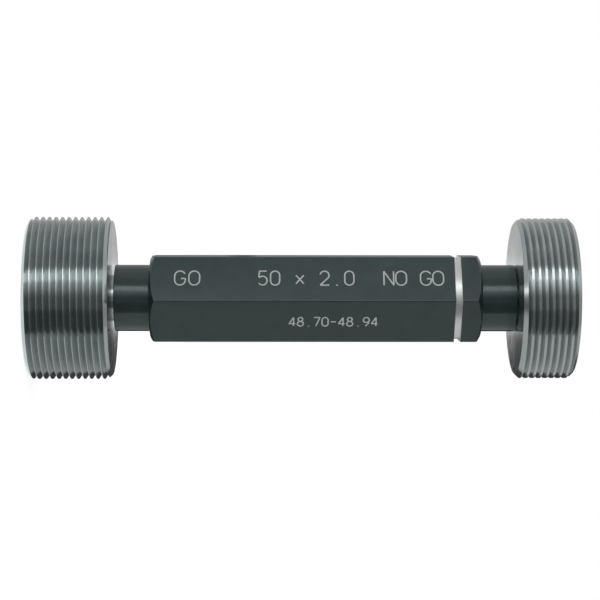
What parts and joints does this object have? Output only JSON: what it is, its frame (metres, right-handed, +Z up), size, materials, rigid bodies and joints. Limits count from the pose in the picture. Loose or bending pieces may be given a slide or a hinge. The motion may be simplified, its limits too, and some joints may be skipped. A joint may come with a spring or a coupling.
{
  "type": "thread plug gauge",
  "caption": "Double-ended thread plug gauge: a threaded GO member and a shorter NO-GO member, each held by a taper shank in a hexagonal handle with turned necks.",
  "frame": {"origin": "centre of the GO member's outer face, on which the gauge stands", "axes": "+Z up along the gauge's axis towards the NO-GO member; two flats of the hexagon face -X and +X, and the drift hole opens towards -X"},
  "size_m": [0.05, 0.05, 0.1668],
  "materials": {
    "blackened_steel": "black oxide over a milled hexagonal bar, satin, with a bright turned ring",
    "ground_gauge_steel": "hardened tool steel, ground bright"
  },
  "bodies": {
    "root": {"handle": "blackened_steel", "go_member": "ground_gauge_steel", "no_go_member": "ground_gauge_steel"}
  },
  "joints": []
}
